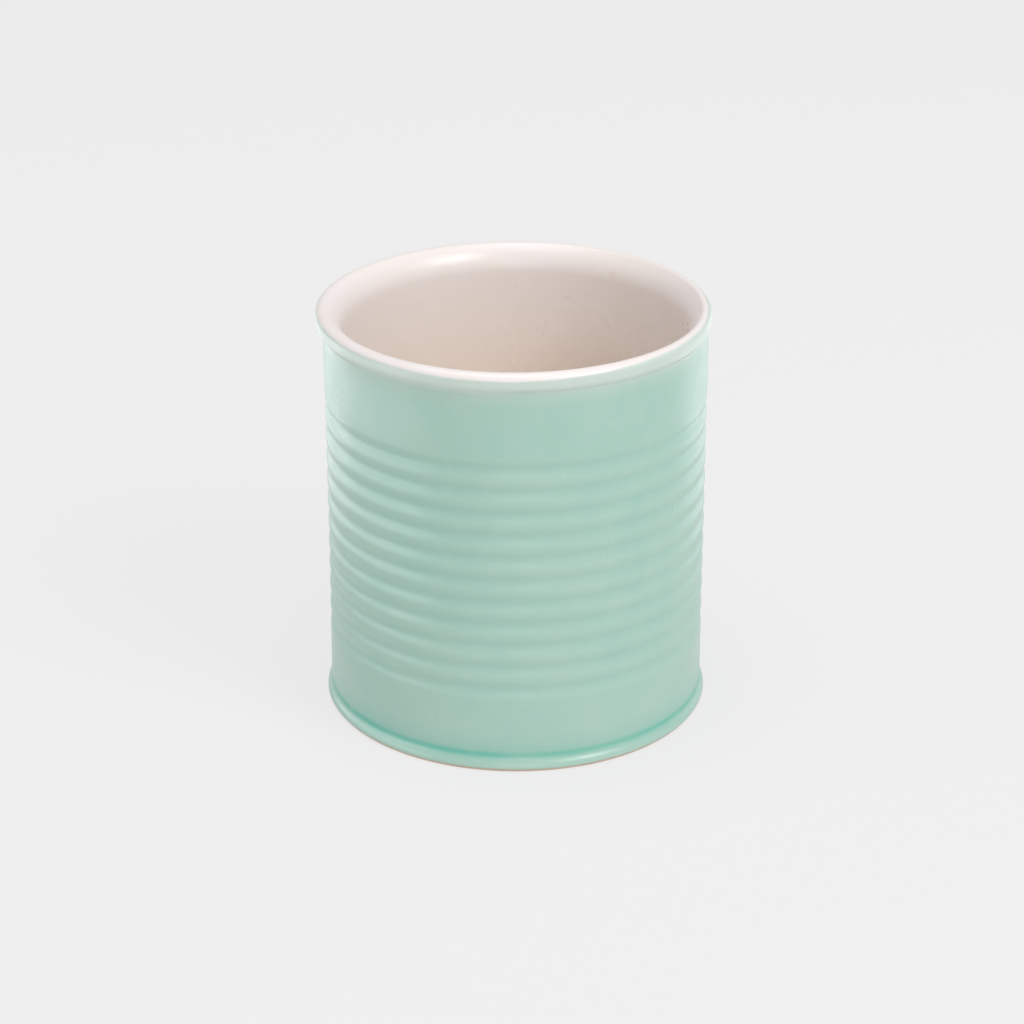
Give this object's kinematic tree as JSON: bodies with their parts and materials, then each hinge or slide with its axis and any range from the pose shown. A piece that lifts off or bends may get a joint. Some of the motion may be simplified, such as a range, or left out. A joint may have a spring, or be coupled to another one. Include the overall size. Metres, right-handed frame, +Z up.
{
  "type": "brush holder pot",
  "caption": "Round ceramic pot with a rolled rim, shallow turned ribs and a raised foot band, mint outside and cream inside",
  "frame": {"origin": "centre of the resting plane, on the pot's axis", "axes": "+Z runs up the pot's axis from the foot to the mouth; X and Y are level and equivalent, as the pot is round"},
  "size_m": [0.0842, 0.0842, 0.09],
  "materials": {
    "fired_clay": "matte",
    "mint_glaze": "gloss",
    "cream_glaze": "gloss"
  },
  "bodies": {
    "root": {"clay_body": "fired_clay", "outer_glaze": "mint_glaze", "liner_glaze": "cream_glaze", "underside_glaze": "cream_glaze"}
  },
  "joints": []
}
